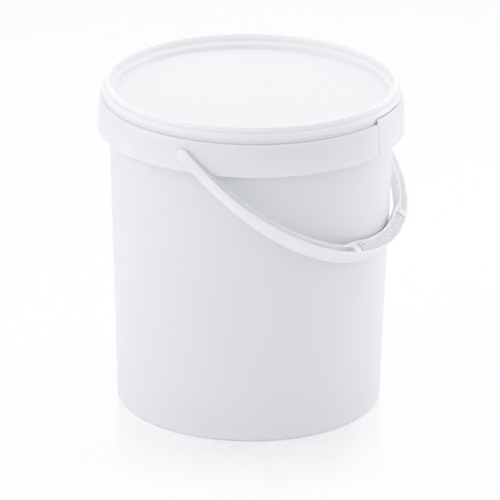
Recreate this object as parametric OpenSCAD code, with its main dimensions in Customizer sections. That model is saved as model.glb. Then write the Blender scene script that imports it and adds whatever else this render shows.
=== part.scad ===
// Round plastic pail with a press-on lid, a swinging handle and a break-off tab.
// Origin: centre of the base, on the surface that the pail stands on.
// +Z is up the pail, the handle pivots lie on Y, and the handle hangs towards +X.

/* [Pail body] */
// Outer radius of the pail wall at the base
base_r = 142.5; // [120:0.5:180]
// Outer radius of the pail wall at the rim
mouth_r = 151.9; // [130:0.5:190]
// Height of the rim above the base
rim_z = 345; // [240:1:420]
// Thickness of the pail wall
wall = 1.9; // [1.2:0.1:3]
// Height of the raised floor above the standing ring
floor_lift = 5; // [3:0.5:10]
// Thickness of the floor
floor_t = 2.4; // [1.6:0.1:4]
// Height of the bead around the mouth
bead_h = 3.6; // [2.5:0.1:6]
// How far the mouth bead stands out from the wall
bead_out = 3.1; // [1.5:0.1:4]

/* [Collar] */
// How far the collar's upper edge stands out from the wall at the mouth
collar_stand = 8.7; // [7:0.1:14]
// How far the collar flares out from its upper edge to its lower edge
collar_flare = 2.4; // [0.5:0.1:5]
// Height of the collar
collar_h = 33.9; // [26:0.5:50]
// Distance from the rim down to the collar's upper face
collar_drop = 7.3; // [6:0.1:12]
// Thickness of the collar and of the web that carries it
collar_t = 1.8; // [1.2:0.1:3]
// Number of stiffening ribs behind the collar
rib_count = 16; // [8:4:16]
// Thickness of each stiffening rib
rib_t = 1.4; // [1:0.1:3]

/* [Lid] */
// How far the edge of the lid's sunk panel lies inside the wall at the mouth
panel_inset = 7.9; // [7.5:0.1:40]
// Depth of the panel below the lid's shoulder
panel_depth = 8.7; // [4:0.1:20]
// How far the ledge round the panel slopes down towards it
ledge_fall = 3; // [0:0.1:3.5]
// Thickness of the lid
lid_t = 1.8; // [1.2:0.1:3]
// Height of the stacking ring above the lid's shoulder
stack_h = 6.6; // [2:0.1:12]
// Width of the stacking ring
stack_w = 3.4; // [2:0.1:6]
// Radius of the rounded shoulder
shoulder_round = 4.7; // [2:0.1:6]
// Set-back of the skirt below the shoulder
skirt_setback = 1.1; // [0.3:0.1:2]
// Thickness of the seal
seal_t = 1.4; // [0.8:0.1:3]

/* [Handle] */
// Height of the pivots above the collar's lower edge
pivot_up = 19.2; // [12:0.1:22]
// How far the round part of the handle stands out from the collar's lower edge
bow_stand = 4.2; // [2.5:0.1:40]
// Distance from the pivots to the centre of the round part
leg_len = 38.5; // [36:0.5:80]
// Width of the strap, across the handle's plane, at the pivots
leg_w = 11; // [9:0.5:14]
// Width of the grip, across the handle's plane
grip_w = 18; // [14:0.5:26]
// Radial depth of the strap
strap_d = 10; // [6:0.5:14]
// Radial depth of the grip
grip_d = 15.7; // [12:0.1:22]
// Half angle of the ribbed part of the grip
grip_half_a = 18; // [12:1:26]
// Number of ribs on each side of the grip
grip_ribs = 20; // [8:1:28]
// Thickness of the handle's rims
handle_rim = 1.7; // [1.2:0.1:2.5]
// Thickness of the handle's middle web
handle_web = 2; // [1.2:0.1:4]
// Thickness of the wall between the strap's channel and the ribbed part of the grip
grip_end_t = 2.2; // [1:0.1:12]
// Radius of the pivot studs
stud_r = 4.5; // [3:0.1:4.8]
// How far the stud's head stands out past its shaft
stud_lip = 1.4; // [0.6:0.1:2]

/* [Break-off tab] */
// Half of the angle that the tab covers
tab_half_a = 10; // [5:0.5:10.5]
// Width of the cuts beside the tab
tab_cut = 0.6; // [0.3:0.1:1]
// How far the tab stands above the collar's upper face
tab_rise = 4.6; // [1:0.1:5]

/* [Fits] */
// Gap between parts that move past each other
move_gap = 0.4; // [0.3:0.05:0.8]
// Radial gap between a stud and its hole
stud_fit = 0.07; // [0.01:0.01:0.1]
// Gap between the hanging grip and the pail wall
rest_gap = 0.54; // [0.4:0.02:2]

/* [Hidden] */
$fn = 96;
eps = 0.01;

// pail and collar
collar_top_r = mouth_r + collar_stand;
collar_low_r = collar_top_r + collar_flare;
shelf_z = rim_z - collar_drop;
collar_z = shelf_z - collar_h;
pivot_z = collar_z + pivot_up;
foot_w = 2.6;
foot_edge = 1;
boss_r = stud_r + 4.2;
boss_depth = 3.2;
rib_h = 16;

// lid
panel_r = mouth_r - panel_inset;
shoulder_z = rim_z + 0.3 + seal_t + lid_t;
panel_z = shoulder_z - panel_depth;
skirt_in = mouth_r + bead_out + move_gap + 0.2;
skirt_out = skirt_in + lid_t;
shoulder_r = skirt_out + skirt_setback;
skirt_z = shelf_z + move_gap + 0.3;
lip_z = skirt_z + 4.6;
stack_r = shoulder_r - shoulder_round;
plug_out = pail_r(shelf_z) - wall - move_gap;
plug_t = 1.6;
plug_drop = 5.2;

// handle
bow_r = collar_low_r + bow_stand;
leg_in = collar_low_r - move_gap / 2 - 0.1;
strap_in = bow_r - strap_d;
sweep_r = sqrt(pow(collar_low_r, 2) + pow(pivot_up, 2)) + move_gap + 0.4;
grip_in = bow_r - grip_d;
relief_top = 2.5;
hang_a = rest_lean(45, 8);
relief_low_r = grip_in + (grip_w / 2 + relief_top) / tan(hang_a);
flare_a = 12;
pocket_start = 5;
rib_pitch_a = 2 * grip_half_a / grip_ribs;
grip_pocket_a = grip_half_a + rib_pitch_a + grip_end_t / bow_r * 180 / PI;
far = 400;

// Outer radius of the pail wall at height z
function pail_r(z) = base_r + (mouth_r - base_r) * z / rim_z;
// Outer radius of the collar at height z
function collar_r(z) = collar_top_r + collar_flare * (shelf_z - z) / collar_h;
// Point at radius r and angle a on the round part of the handle
function bow_pt(r, a) = [leg_len + r * cos(a), r * sin(a)];
// Height of the grip's inner edge when the handle leans by a from straight down
function grip_z(a) = pivot_z - (leg_len + grip_in) * cos(a) + relief_top * sin(a);
// Lean at which the grip's inner edge rests against the pail wall, found in n steps from a
function rest_lean(a, n) =
    n == 0 ? a
    : rest_lean(asin((pail_r(grip_z(a)) + rest_gap - relief_top * cos(a)) / (leg_len + grip_in)), n - 1);

// ---- pail body ----

module wall_section() {
    polygon([
        [pail_r(0) - foot_w, 0], [pail_r(0) - foot_edge, 0], [pail_r(foot_edge), foot_edge],
        [mouth_r, rim_z], [mouth_r - wall, rim_z],
        [pail_r(floor_lift + floor_t) - wall, floor_lift + floor_t],
        [0, floor_lift + floor_t], [0, floor_lift], [pail_r(floor_lift) - foot_w, floor_lift]
    ]);
}

module bead_section() {
    bead_round = bead_h / 2;
    translate([mouth_r - wall / 2, rim_z - bead_h])
        square([bead_out + wall / 2 - bead_round, bead_h]);
    translate([mouth_r + bead_out - bead_round, rim_z - bead_round])
        circle(r = bead_round);
}

module pail_body() {
    color("white")
        rotate_extrude($fn = 192) {
            wall_section();
            bead_section();
        }
}

// ---- collar ----

// The collar meets the pail wall along the wall's own outer face
module collar_section() {
    polygon([
        [pail_r(shelf_z), shelf_z], [collar_top_r, shelf_z],
        [collar_low_r, collar_z], [collar_low_r - collar_t, collar_z],
        [collar_top_r - collar_t, shelf_z - collar_t],
        [pail_r(shelf_z - collar_t), shelf_z - collar_t]
    ]);
}

module stiffening_ribs() {
    rib_in = pail_r(shelf_z) - wall / 2;
    rib_out = collar_top_r - collar_t / 2;
    for (i = [0 : rib_count - 1])
        rotate([0, 0, (i + 0.5) * 360 / rib_count])
            translate([rib_in, -rib_t / 2, shelf_z - collar_t / 2 - rib_h])
                cube([rib_out - rib_in, rib_t, rib_h]);
}

module stud_bosses() {
    for (side = [-1, 1])
        rotate([90 * side, 0, 0])
            translate([0, side * pivot_z, collar_r(pivot_z) - collar_t - boss_depth])
                cylinder(r = boss_r, h = boss_depth + collar_t / 2);
}

module stud_holes() {
    translate([0, far, pivot_z])
        rotate([90, 0, 0])
            difference() {
                cylinder(r = stud_r + stud_fit, h = 2 * far);
                translate([0, 0, far - mouth_r - move_gap])
                    cylinder(r = 2 * boss_r, h = 2 * (mouth_r + move_gap));
            }
}

// Wedge of the collar that the tab stands in, wider by grow on each side
module tab_wedge(inner_r, low_z, high_z, grow) {
    half_w = far * tan(tab_half_a);
    shift = grow / cos(tab_half_a);
    translate([0, 0, low_z])
        linear_extrude(height = high_z - low_z)
            difference() {
                polygon([[0, -shift], [far, -half_w - shift], [far, half_w + shift], [0, shift]]);
                circle(r = inner_r, $fn = 192);
            }
}

module collar() {
    color("white")
        difference() {
            union() {
                rotate_extrude($fn = 192)
                    collar_section();
                stiffening_ribs();
                stud_bosses();
            }
            stud_holes();
            tab_wedge(collar_top_r - collar_t - tab_cut, collar_z - 1, shelf_z + 1, tab_cut);
            cylinder(r1 = pail_r(0), r2 = mouth_r, h = rim_z, $fn = 192);
        }
}

// ---- lid ----

module shoulder_section() {
    difference() {
        union() {
            translate([stack_r, shoulder_z - shoulder_round])
                circle(r = shoulder_round);
            translate([stack_r, lip_z])
                square([shoulder_round, shoulder_z - shoulder_round - lip_z]);
        }
        translate([0, lip_z - far])
            square([far, far]);
        square([stack_r, far]);
    }
}

module lid_section() {
    ledge_in = panel_r + 1.2;
    ledge_z = shoulder_z - ledge_fall;
    plug_in = plug_out - plug_t + eps;
    union() {
        // panel, the wall that sinks it and the sloping ledge round it
        polygon([
            [0, panel_z - lid_t], [panel_r + lid_t, panel_z - lid_t],
            [ledge_in + lid_t, ledge_z - lid_t], [plug_in, ledge_z - lid_t],
            [plug_in, shoulder_z - lid_t], [skirt_in, shoulder_z - lid_t],
            [skirt_in, skirt_z], [skirt_out, skirt_z], [skirt_out, shoulder_z - shoulder_round],
            [stack_r, shoulder_z], [stack_r - stack_w, shoulder_z], [ledge_in, ledge_z],
            [panel_r, panel_z], [0, panel_z]
        ]);
        // stacking ring
        translate([stack_r - stack_w, shoulder_z - eps])
            square([stack_w, stack_h + eps]);
        // plug that centres the lid in the mouth
        translate([plug_out - plug_t, shoulder_z - lid_t - plug_drop])
            square([plug_t, plug_drop + eps]);
        // locking bead inside the skirt
        translate([skirt_in - 0.2, skirt_z + 0.8])
            square([0.3, 1.6]);
        intersection() {
            shoulder_section();
            translate([skirt_in + eps, 0])
                square([far, far]);
        }
    }
}

module lid() {
    color("white")
        rotate_extrude($fn = 192)
            lid_section();
}

module lid_seal() {
    color("gainsboro")
        rotate_extrude($fn = 192)
            translate([plug_out + 0.2, rim_z + 0.3])
                square([skirt_in - plug_out - 0.6, seal_t]);
}

// ---- handle ----
// The handle is drawn flat: X runs from the pivots to the grip, Y joins the pivots.

module handle_outline() {
    difference() {
        union() {
            circle_cut(bow_r);
            translate([-leg_w / 2, -bow_r])
                square([leg_len + leg_w / 2 + eps, 2 * bow_r]);
        }
        difference() {
            inner_outline(0);
            grip_pad();
        }
        translate([leg_len, 0])
            circle(r = grip_in, $fn = 192);
    }
}

// Half disc beyond the end of the legs
module circle_cut(r) {
    intersection() {
        translate([leg_len, 0])
            circle(r = r, $fn = 192);
        translate([leg_len, -far])
            square([far, 2 * far]);
    }
}

// Space inside the handle, made smaller by rim where it cuts a pocket
module inner_outline(rim) {
    translate([leg_len, 0])
        circle(r = strap_in + rim, $fn = 192);
    intersection() {
        circle(r = sweep_r + rim, $fn = 192);
        translate([-far, -leg_in - rim])
            square([2 * far, 2 * (leg_in + rim)]);
    }
}

// Inner part of the grip, with its ends sloped into the strap
module grip_pad() {
    near_a = grip_half_a + 1;
    far_a = near_a + flare_a;
    polygon([
        bow_pt(grip_in - 20, -near_a), bow_pt(grip_in, -near_a), bow_pt(strap_in + 2, -far_a),
        bow_pt(bow_r, 0), bow_pt(strap_in + 2, far_a), bow_pt(grip_in, near_a),
        bow_pt(grip_in - 20, near_a)
    ]);
}

// Side view of the handle: strap width along the legs, growing to the grip
module width_profile() {
    taper_start = leg_len + 20;
    taper_end = leg_len + bow_r * cos(grip_half_a + 3);
    polygon([
        [0, -leg_w / 2], [taper_start, -leg_w / 2], [taper_end, -grip_w / 2], [far, -grip_w / 2],
        [far, grip_w / 2], [taper_end, grip_w / 2], [taper_start, leg_w / 2], [0, leg_w / 2]
    ]);
    circle(r = leg_w / 2);
}

module strap_pockets() {
    rim_r = bow_r - handle_rim;
    for (side = [0, 1])
        mirror([0, 0, side])
            translate([0, 0, handle_web / 2])
                linear_extrude(height = grip_w)
                    difference() {
                        union() {
                            circle_cut(rim_r);
                            translate([pocket_start, -rim_r])
                                square([leg_len - pocket_start + eps, 2 * rim_r]);
                        }
                        inner_outline(handle_rim);
                        polygon([
                            [0, 0], bow_pt(far, -grip_pocket_a), [2 * far, 0],
                            bow_pt(far, grip_pocket_a)
                        ]);
                    }
}

// Ribbed pockets of the grip, on both sides of the web
module grip_pockets() {
    rim_r = bow_r - handle_rim;
    half_a = grip_half_a + rib_pitch_a;
    for (side = [0, 1])
        mirror([0, 0, side])
            translate([0, 0, handle_web / 2])
                difference() {
                    intersection() {
                        translate([leg_len, 0, 0])
                            cylinder(r = rim_r, h = grip_w, $fn = 192);
                        linear_extrude(height = grip_w)
                            polygon([[leg_len, 0], bow_pt(far, -half_a), [2 * far, 0], bow_pt(far, half_a)]);
                    }
                    translate([leg_len, 0, 0])
                        cylinder(r = (side == 0 ? grip_in : relief_low_r) + handle_rim, h = 2 * grip_w,
                                 center = true, $fn = 192);
                    translate([leg_len, 0, 0])
                        cylinder(r1 = grip_in + 2 * relief_top, r2 = grip_in + handle_rim,
                                 h = 2 * relief_top, $fn = 192);
                    for (i = [0 : grip_ribs])
                        grip_rib(-grip_half_a + i * rib_pitch_a);
                }
}

module grip_rib(a) {
    rib_w = 2 * PI * bow_r * rib_pitch_a / 360 * 0.45;
    translate([leg_len, 0, 0])
        rotate([0, 0, a])
            translate([0, -rib_w / 2, -1])
                cube([far, rib_w, far]);
}

// Relief under the grip, so that its inner side lies along the pail wall
module grip_relief() {
    translate([leg_len, 0, -grip_w / 2])
        cylinder(r1 = relief_low_r, r2 = grip_in, h = grip_w / 2 + relief_top, $fn = 192);
}

module pivot_studs() {
    head_y = collar_r(pivot_z) - collar_t - boss_depth - move_gap;
    shaft_in = head_y - 2.6;
    for (side = [-1, 1])
        rotate([-90 * side, 0, 0])
            difference() {
                union() {
                    translate([0, 0, shaft_in])
                        cylinder(r = stud_r, h = leg_in + 1 - shaft_in);
                    translate([0, 0, shaft_in])
                        cylinder(r1 = stud_r, r2 = stud_r + stud_lip, h = head_y - shaft_in);
                }
                translate([-far / 2, -0.7, shaft_in - 1])
                    cube([far, 1.4, leg_in - move_gap - shaft_in]);
            }
}

module handle() {
    color("white")
        translate([0, 0, pivot_z])
            rotate([0, 90 - hang_a, 0]) {
                difference() {
                    intersection() {
                        translate([0, 0, -grip_w])
                            linear_extrude(height = 2 * grip_w)
                                handle_outline();
                        translate([0, far, 0])
                            rotate([90, 0, 0])
                                linear_extrude(height = 2 * far)
                                    width_profile();
                    }
                    strap_pockets();
                    grip_pockets();
                    grip_relief();
                }
                pivot_studs();
            }
}

// ---- break-off tab ----

module tear_tab() {
    tab_top = shelf_z + tab_rise;
    color("white")
        intersection() {
            rotate_extrude($fn = 192)
                polygon([
                    [collar_low_r, collar_z], [collar_r(tab_top), tab_top],
                    [collar_r(tab_top) - collar_t, tab_top],
                    [collar_low_r - collar_t, collar_z]
                ]);
            tab_wedge(collar_top_r - 3 * collar_t, collar_z - 1, tab_top + 1, 0);
        }
}

pail_body();
collar();
lid();
lid_seal();
handle();
tear_tab();
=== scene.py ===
"""Looks of a white moulded pail with a press-on lid, a swinging handle and a break-off tab.

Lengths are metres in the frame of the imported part: +Z up the pail, the handle hanging towards +X.
"""

import math

import bmesh
import bpy
from mathutils import Matrix, Vector


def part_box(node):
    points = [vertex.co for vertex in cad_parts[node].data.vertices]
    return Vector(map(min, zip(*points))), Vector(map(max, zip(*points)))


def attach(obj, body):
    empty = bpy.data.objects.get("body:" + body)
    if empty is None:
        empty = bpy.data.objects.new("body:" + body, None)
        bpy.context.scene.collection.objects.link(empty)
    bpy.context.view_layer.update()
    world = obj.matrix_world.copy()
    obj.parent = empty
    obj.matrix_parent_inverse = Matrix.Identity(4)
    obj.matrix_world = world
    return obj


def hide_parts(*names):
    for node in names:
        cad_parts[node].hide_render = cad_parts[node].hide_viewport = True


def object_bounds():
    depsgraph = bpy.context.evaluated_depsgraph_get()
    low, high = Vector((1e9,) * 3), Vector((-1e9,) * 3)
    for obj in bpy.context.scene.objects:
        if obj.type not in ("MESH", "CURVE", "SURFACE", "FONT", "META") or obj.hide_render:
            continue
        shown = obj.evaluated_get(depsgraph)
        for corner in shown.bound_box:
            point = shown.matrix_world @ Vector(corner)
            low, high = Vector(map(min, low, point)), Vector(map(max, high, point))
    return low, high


MM = 0.001
TURN_STEPS = 192
MERGE = 0.002 * MM
HAIR = 0.05 * MM
SEATED = 0.1 * MM
GRAIN = 0.9

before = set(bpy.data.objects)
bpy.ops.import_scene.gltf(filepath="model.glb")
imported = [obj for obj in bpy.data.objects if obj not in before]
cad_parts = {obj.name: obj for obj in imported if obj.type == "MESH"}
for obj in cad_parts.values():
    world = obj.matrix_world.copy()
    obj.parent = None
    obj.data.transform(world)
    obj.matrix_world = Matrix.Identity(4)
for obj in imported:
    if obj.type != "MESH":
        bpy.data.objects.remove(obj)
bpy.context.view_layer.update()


# ---- sizes read off the frame ----


def radii(node, low, high):
    """Radii of a CAD piece's corners that lie between two heights."""
    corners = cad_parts[node].data.vertices
    return [math.hypot(v.co.x, v.co.y) for v in corners if low <= v.co.z <= high]


def levels(node, inner, outer):
    """Heights, lowest first, at which a CAD piece has corners between two radii."""
    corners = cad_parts[node].data.vertices
    return sorted({round(v.co.z, 5) for v in corners if inner <= math.hypot(v.co.x, v.co.y) <= outer})


# ---- shaping ----


def finished(name, bm, body, node, material, smooth_deg=35):
    """Turns a bmesh into the visible piece that stands for a CAD node."""
    mesh = bpy.data.meshes.new(name)
    bm.to_mesh(mesh)
    bm.free()
    mesh.polygons.foreach_set("use_smooth", [True] * len(mesh.polygons))
    mesh.set_sharp_from_angle(angle=math.radians(smooth_deg))
    mesh.materials.append(material)
    piece = bpy.data.objects.new(name, mesh)
    bpy.context.scene.collection.objects.link(piece)
    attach(piece, body)
    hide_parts(node)
    return piece


def outline(bm, corners):
    """Closed outline of (radius, height, rounding) corners, each rounded by its own size."""
    verts = [bm.verts.new((radius, 0, height)) for radius, height, rounding in corners]
    for start, end in zip(verts, verts[1:] + verts[:1]):
        bm.edges.new((start, end))
    for vert, (radius, height, rounding) in zip(verts, corners):
        if rounding:
            bmesh.ops.bevel(
                bm,
                geom=[vert],
                offset=rounding,
                offset_type="OFFSET",
                segments=4,
                profile=0.5,
                affect="VERTICES",
                material=-1,
            )


def turned(corners):
    """Outline turned once round the pail's axis into a closed shell."""
    bm = bmesh.new()
    outline(bm, corners)
    bmesh.ops.spin(
        bm,
        geom=bm.edges[:],
        cent=(0, 0, 0),
        axis=(0, 0, 1),
        angle=2 * math.pi,
        steps=TURN_STEPS,
        use_merge=True,
    )
    bmesh.ops.remove_doubles(bm, verts=bm.verts, dist=MERGE)
    bmesh.ops.recalc_face_normals(bm, faces=bm.faces)
    return bm


def softened(node, edge, segments=2, sharp_deg=32):
    """Copy of a CAD piece with its sharp edges rounded."""
    bm = bmesh.new()
    bm.from_mesh(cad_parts[node].data)
    bmesh.ops.remove_doubles(bm, verts=bm.verts, dist=MERGE)
    bmesh.ops.dissolve_limit(
        bm,
        angle_limit=math.radians(0.4),
        verts=bm.verts,
        edges=bm.edges,
    )
    bmesh.ops.dissolve_degenerate(bm, dist=1.4 * edge, edges=bm.edges)
    sharp = [
        e
        for e in bm.edges
        if len(e.link_faces) == 2 and e.calc_face_angle() > math.radians(sharp_deg)
    ]
    bmesh.ops.bevel(
        bm,
        geom=sharp,
        offset=edge,
        offset_type="OFFSET",
        segments=segments,
        profile=0.5,
        affect="EDGES",
        clamp_overlap=False,
        material=-1,
    )
    return bm


# ---- materials ----


def colour(code):
    """Linear colour of an sRGB hex value."""
    parts = [int(code[i : i + 2], 16) / 255 for i in (1, 3, 5)]
    linear = [p / 12.92 if p <= 0.04045 else ((p + 0.055) / 1.055) ** 2.4 for p in parts]
    return (*linear, 1)


def add(tree, kind, inputs, **settings):
    """New node with its settings, each input given a value or linked to another node's output."""
    node = tree.nodes.new(kind)
    for name, value in settings.items():
        setattr(node, name, value)
    for name, value in inputs.items():
        if isinstance(value, bpy.types.NodeSocket):
            tree.links.new(value, node.inputs[name])
        else:
            node.inputs[name].default_value = value
    return node


def new_material(name):
    """Empty node material and its tree."""
    material = bpy.data.materials.new(name)
    material.use_nodes = True
    material.node_tree.nodes.clear()
    return material, material.node_tree


def moulded_polypropylene(name, pale, shade, rough_low, rough_high, glow_share, glow_mm):
    """Injection-moulded polypropylene: waxy semi-gloss white, soft highlights, faint flow clouds."""
    material, tree = new_material(name)
    place = add(tree, "ShaderNodeTexCoord", {})
    # flow clouds, about as wide as a hand
    clouds = add(
        tree,
        "ShaderNodeTexNoise",
        {"Vector": place.outputs["Object"], "Scale": 1 / (90 * MM), "Detail": 2.0, "Roughness": 0.45},
    )
    tint = add(
        tree,
        "ShaderNodeMix",
        {"Factor": clouds.outputs["Fac"], "A": colour(pale), "B": colour(shade)},
        data_type="RGBA",
    )
    # mould face: fine spark-eroded grain
    grain = add(
        tree,
        "ShaderNodeTexNoise",
        {"Vector": place.outputs["Object"], "Scale": 1 / (GRAIN * MM), "Detail": 3.0, "Roughness": 0.55},
    )
    rough = add(
        tree,
        "ShaderNodeMapRange",
        {"Value": clouds.outputs["Fac"], "From Min": 0.0, "From Max": 1.0, "To Min": rough_low, "To Max": rough_high},
    )
    relief = add(
        tree,
        "ShaderNodeBump",
        {"Height": grain.outputs["Fac"], "Strength": 0.25, "Distance": 0.03 * MM},
    )
    shader = add(
        tree,
        "ShaderNodeBsdfPrincipled",
        {
            "Base Color": tint.outputs["Result"],
            "Roughness": rough.outputs["Result"],
            "IOR": 1.49,
            "Subsurface Weight": glow_share,
            "Subsurface Radius": (1.0, 1.0, 1.0),
            "Subsurface Scale": glow_mm * MM,
            "Normal": relief.outputs["Normal"],
        },
    )
    add(tree, "ShaderNodeOutputMaterial", {"Surface": shader.outputs["BSDF"]})
    return material


def foamed_elastomer(name):
    """Foamed elastomer seal: matt pale grey with open pores."""
    material, tree = new_material(name)
    place = add(tree, "ShaderNodeTexCoord", {})
    pores = add(
        tree,
        "ShaderNodeTexNoise",
        {"Vector": place.outputs["Object"], "Scale": 1 / (0.8 * MM), "Detail": 4.0, "Roughness": 0.6},
    )
    tint = add(
        tree,
        "ShaderNodeMix",
        {"Factor": pores.outputs["Fac"], "A": colour("#d9d8d4"), "B": colour("#c4c3be")},
        data_type="RGBA",
    )
    relief = add(
        tree,
        "ShaderNodeBump",
        {"Height": pores.outputs["Fac"], "Strength": 0.5, "Distance": 0.2 * MM},
    )
    shader = add(
        tree,
        "ShaderNodeBsdfPrincipled",
        {
            "Base Color": tint.outputs["Result"],
            "Roughness": 0.85,
            "IOR": 1.52,
            "Normal": relief.outputs["Normal"],
        },
    )
    add(tree, "ShaderNodeOutputMaterial", {"Surface": shader.outputs["BSDF"]})
    return material


# ---- pieces ----

body_pp = moulded_polypropylene("moulded polypropylene, pail", "#f5f7f9", "#f1f3f7", 0.26, 0.34, 0.4, 4)
lid_pp = moulded_polypropylene("moulded polypropylene, lid", "#fcfcfd", "#fafafb", 0.28, 0.36, 0.4, 4)
handle_pp = moulded_polypropylene("moulded polypropylene, handle", "#fafbfc", "#f8f9fb", 0.30, 0.38, 0.5, 4)
seal_foam = foamed_elastomer("foamed elastomer, seal")


def pail_shell():
    """Tapered drum: standing ring, raised floor, thin wall and the rolled bead round its mouth."""
    bead_r, rim_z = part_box("pail_body")[1].xz
    foot_in = min(radii("pail_body", -HAIR, HAIR))
    foot_out = max(radii("pail_body", -HAIR, HAIR))
    foot_z, under_z, floor_z = levels("pail_body", 0, foot_in + 1 * MM)
    under_r = max(radii("pail_body", under_z - HAIR, under_z + HAIR))
    floor_r = max(radii("pail_body", floor_z - HAIR, floor_z + HAIR))
    edge_z = min(z for z in levels("pail_body", foot_out, foot_out + 2 * MM) if z > foot_z + HAIR)
    edge_r = max(radii("pail_body", edge_z - HAIR, edge_z + HAIR))
    mouth_in = min(radii("pail_body", rim_z - HAIR, rim_z + HAIR))
    bead_z = levels("pail_body", bead_r - 2 * MM, bead_r)[0]
    bead_in = min(radii("pail_body", bead_z - HAIR, bead_z + HAIR))
    corners = [
        (foot_in, foot_z, 0.5 * MM),
        (foot_out, foot_z, 0.4 * MM),
        (edge_r, edge_z, 0.4 * MM),
        (bead_in, bead_z, 0.6 * MM),
        (bead_r, bead_z, 1.6 * MM),
        (bead_r, rim_z, 1.6 * MM),
        (mouth_in, rim_z, 0.6 * MM),
        (floor_r, floor_z, 3 * MM),
        (0, floor_z, 0),
        (0, under_z, 0),
        (under_r, under_z, 1.5 * MM),
    ]
    return finished("pail_shell", turned(corners), "pail", "pail_body", body_pp)


def lid_shell():
    """Press-on lid: sunk panel, stacking ring, rounded shoulder, skirt and centring plug."""
    shoulder_r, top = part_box("lid")[1].xz
    # panel and the ledge round it
    panel_r = min(radii("lid", 0, top))
    panel_z = levels("lid", panel_r - HAIR, panel_r + HAIR)[-1]
    stack_in = min(radii("lid", top - HAIR, top + HAIR))
    stack_r = max(radii("lid", top - HAIR, top + HAIR))
    shoulder_z = levels("lid", stack_in - HAIR, stack_in + HAIR)[0]
    ledge_r = min(radii("lid", panel_z + 2 * MM, top))
    ledge_z = levels("lid", ledge_r - HAIR, ledge_r + HAIR)[-1]
    shoulder_round = shoulder_r - stack_r
    # skirt, drawn down to the collar, and plug
    skirt_low = levels("lid", stack_r + 1 * MM, shoulder_r)[0]
    skirt_in = min(radii("lid", skirt_low - HAIR, skirt_low + HAIR))
    skirt_out = max(radii("lid", skirt_low - HAIR, skirt_low + HAIR))
    skirt_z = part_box("collar")[1].z + SEATED
    lip_z = levels("lid", shoulder_r - HAIR, shoulder_r + HAIR)[0]
    thick = skirt_out - skirt_in
    plug_z = levels("lid", ledge_r + thick + 0.5 * MM, stack_in - 0.5 * MM)[0]
    plug_in = min(radii("lid", plug_z - HAIR, plug_z + HAIR))
    plug_out = max(radii("lid", plug_z - HAIR, plug_z + HAIR))
    corners = [
        (0, panel_z, 0),
        (panel_r, panel_z, 1.6 * MM),
        (ledge_r, ledge_z, 0.8 * MM),
        (stack_in, shoulder_z, 0.8 * MM),
        (stack_in, top, 1.1 * MM),
        (stack_r, top, 1.1 * MM),
        (stack_r, shoulder_z, 0.9 * MM),
        (shoulder_r, shoulder_z, 0.78 * shoulder_round),
        (shoulder_r, lip_z, 0.7 * MM),
        (skirt_out, lip_z, 0.4 * MM),
        (skirt_out, skirt_z, 0.5 * MM),
        (skirt_in, skirt_z, 0.5 * MM),
        (skirt_in, shoulder_z - thick, 0.5 * MM),
        (plug_out, shoulder_z - thick, 0.4 * MM),
        (plug_out, plug_z, 0.6 * MM),
        (plug_in, plug_z, 0.6 * MM),
        (plug_in, ledge_z - thick, 0.2 * MM),
        (ledge_r + thick, ledge_z - thick, 0.2 * MM),
        (panel_r + thick, panel_z - thick, 1.2 * MM),
        (0, panel_z - thick, 0),
    ]
    return finished("lid_shell", turned(corners), "lid", "lid", lid_pp)


def seal_ring():
    """Flat foamed ring pressed between the lid and the pail's rim."""
    low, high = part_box("lid_seal")
    inner = min(radii("lid_seal", low[2], high[2]))
    outer = high[0]
    corners = [
        (inner, low[2], 0.4 * MM),
        (outer, low[2], 0.4 * MM),
        (outer, high[2], 0.4 * MM),
        (inner, high[2], 0.4 * MM),
    ]
    return finished("seal_ring", turned(corners), "lid", "lid_seal", seal_foam)


def collar_ring():
    """Deep collar moulded round the pail, with its ribs, stud holes and the gap for the tab."""
    return finished("collar_ring", softened("collar", 0.3 * MM), "pail", "collar", body_pp)


def swing_handle():
    """Handle of an H section that widens into a ribbed grip, with snap-in studs at its ends."""
    return finished("swing_handle", softened("handle", 0.25 * MM), "handle", "handle", handle_pp)


def break_tab():
    """Break-off tab that bridges the collar and the lid's shoulder, drawn up to the shoulder's lip."""
    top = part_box("tear_tab")[1].z
    shoulder_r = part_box("lid")[1].x
    lip_z = levels("lid", shoulder_r - HAIR, shoulder_r + HAIR)[0]
    bm = softened("tear_tab", 0.3 * MM)
    upper = [v for v in bm.verts if v.co.z > top - 1 * MM]
    bmesh.ops.translate(bm, verts=upper, vec=(0, 0, lip_z - SEATED - top))
    return finished("break_tab", bm, "tab", "tear_tab", body_pp)


pail_shell()
lid_shell()
seal_ring()
collar_ring()
swing_handle()
break_tab()


# ---- stage ----

middle = Vector((0, 0, 160.8 * MM))


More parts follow.
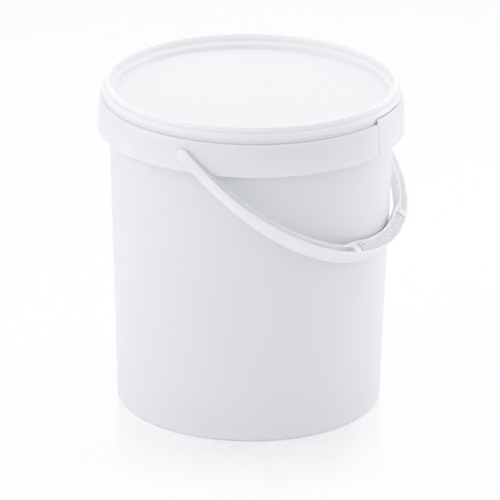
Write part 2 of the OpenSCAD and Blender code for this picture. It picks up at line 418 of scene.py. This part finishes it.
def gloss_white_floor():
    """Polished white floor: plain white, with a contact shadow and a reflection that fades away."""
    material, tree = new_material("polished white floor")
    path = add(tree, "ShaderNodeLightPath", {})
    place = add(tree, "ShaderNodeTexCoord", {})
    reach = add(tree, "ShaderNodeVectorMath", {0: place.outputs["Object"]}, operation="LENGTH")
    base_r = max(radii("pail_body", -HAIR, HAIR))
    mirror = add(
        tree,
        "ShaderNodeMapRange",
        {
            "Value": reach.outputs["Value"],
            "From Min": base_r,
            "From Max": base_r + 130 * MM,
            "To Min": 0.42,
            "To Max": 0.0,
        },
    )
    matt = add(tree, "ShaderNodeBsdfDiffuse", {"Color": colour("#ffffff")})
    glow = add(tree, "ShaderNodeEmission", {"Color": colour("#ffffff"), "Strength": 1.0})
    gloss = add(tree, "ShaderNodeBsdfGlossy", {"Color": colour("#ffffff"), "Roughness": 0.1})
    plain = add(tree, "ShaderNodeMixShader", {"Fac": 0.8, 1: matt.outputs["BSDF"], 2: glow.outputs["Emission"]})
    polished = add(
        tree,
        "ShaderNodeMixShader",
        {"Fac": mirror.outputs["Result"], 1: plain.outputs["Shader"], 2: gloss.outputs["BSDF"]},
    )
    shown = add(
        tree,
        "ShaderNodeMixShader",
        {"Fac": path.outputs["Is Camera Ray"], 1: matt.outputs["BSDF"], 2: polished.outputs["Shader"]},
    )
    add(tree, "ShaderNodeOutputMaterial", {"Surface": shown.outputs["Shader"]})
    mesh = bpy.data.meshes.new("floor")
    bm = bmesh.new()
    bmesh.ops.create_grid(bm, x_segments=1, y_segments=1, size=6)
    bmesh.ops.translate(bm, verts=bm.verts, vec=(0, 0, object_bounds()[0].z - 0.2 * MM))
    bm.to_mesh(mesh)
    bm.free()
    mesh.materials.append(material)
    floor = bpy.data.objects.new("floor", mesh)
    bpy.context.scene.collection.objects.link(floor)


def surround():
    """White surround: it lights the pail evenly and is seen as plain white."""
    world = bpy.data.worlds.new("white surround")
    world.use_nodes = True
    tree = world.node_tree
    tree.nodes.clear()
    path = add(tree, "ShaderNodeLightPath", {})
    dim = add(tree, "ShaderNodeBackground", {"Color": colour("#fbfbff"), "Strength": 0.74})
    plain = add(tree, "ShaderNodeBackground", {"Color": colour("#ffffff"), "Strength": 1.0})
    direct = add(
        tree,
        "ShaderNodeMath",
        {0: path.outputs["Is Camera Ray"], 1: path.outputs["Is Glossy Ray"]},
        operation="MAXIMUM",
    )
    shown = add(
        tree,
        "ShaderNodeMath",
        {0: direct.outputs["Value"], 1: path.outputs["Is Transmission Ray"]},
        operation="MAXIMUM",
    )
    mix = add(tree, "ShaderNodeMixShader", {"Fac": shown.outputs["Value"]})
    tree.links.new(dim.outputs["Background"], mix.inputs[1])
    tree.links.new(plain.outputs["Background"], mix.inputs[2])
    add(tree, "ShaderNodeOutputWorld", {"Surface": mix.outputs["Shader"]})
    bpy.context.scene.world = world


def soft_light(name, azimuth, elevation, distance, width, height, watts, tint="#ffffff"):
    """Large soft lamp, placed like a camera view round the pail's middle and aimed at it."""
    a = math.radians(azimuth)
    e = math.radians(elevation)
    away = Vector((math.sin(a) * math.cos(e), -math.cos(a) * math.cos(e), math.sin(e)))
    lamp = bpy.data.lights.new(name, "AREA")
    lamp.shape = "RECTANGLE"
    lamp.size = width
    lamp.size_y = height
    lamp.energy = watts
    lamp.color = colour(tint)[:3]
    holder = bpy.data.objects.new(name, lamp)
    holder.matrix_world = Matrix.Translation(middle + away * distance) @ away.to_track_quat("Z", "Y").to_matrix().to_4x4()
    bpy.context.scene.collection.objects.link(holder)
    return holder


def camera():
    """Long lens, slightly above the lid."""
    a = math.radians(25.2)
    e = math.radians(21.414)
    away = Vector((math.sin(a) * math.cos(e), -math.cos(a) * math.cos(e), math.sin(e)))
    lens = bpy.data.cameras.new("camera")
    lens.lens = 280.3
    lens.sensor_width = 36
    lens.clip_end = 100
    holder = bpy.data.objects.new("camera", lens)
    aim = away.to_track_quat("Z", "Y").to_matrix().to_4x4()
    roll = Matrix.Rotation(math.radians(0.636), 4, "Z")
    holder.matrix_world = Matrix.Translation(middle + away * 4.1797) @ aim @ roll
    bpy.context.scene.collection.objects.link(holder)
    bpy.context.scene.camera = holder


gloss_white_floor()
surround()
soft_light("left lamp", 25.2 - 72, 25, 1.6, 1.2, 1.4, 4.2)
soft_light("right lamp", 25.2 + 112, 20, 1.6, 0.8, 1.4, 4.5)
soft_light("top lamp", 25.2 + 180, 70, 1.6, 1.4, 1.4, 5.4)
camera()

bpy.context.scene.view_settings.view_transform = "Standard"
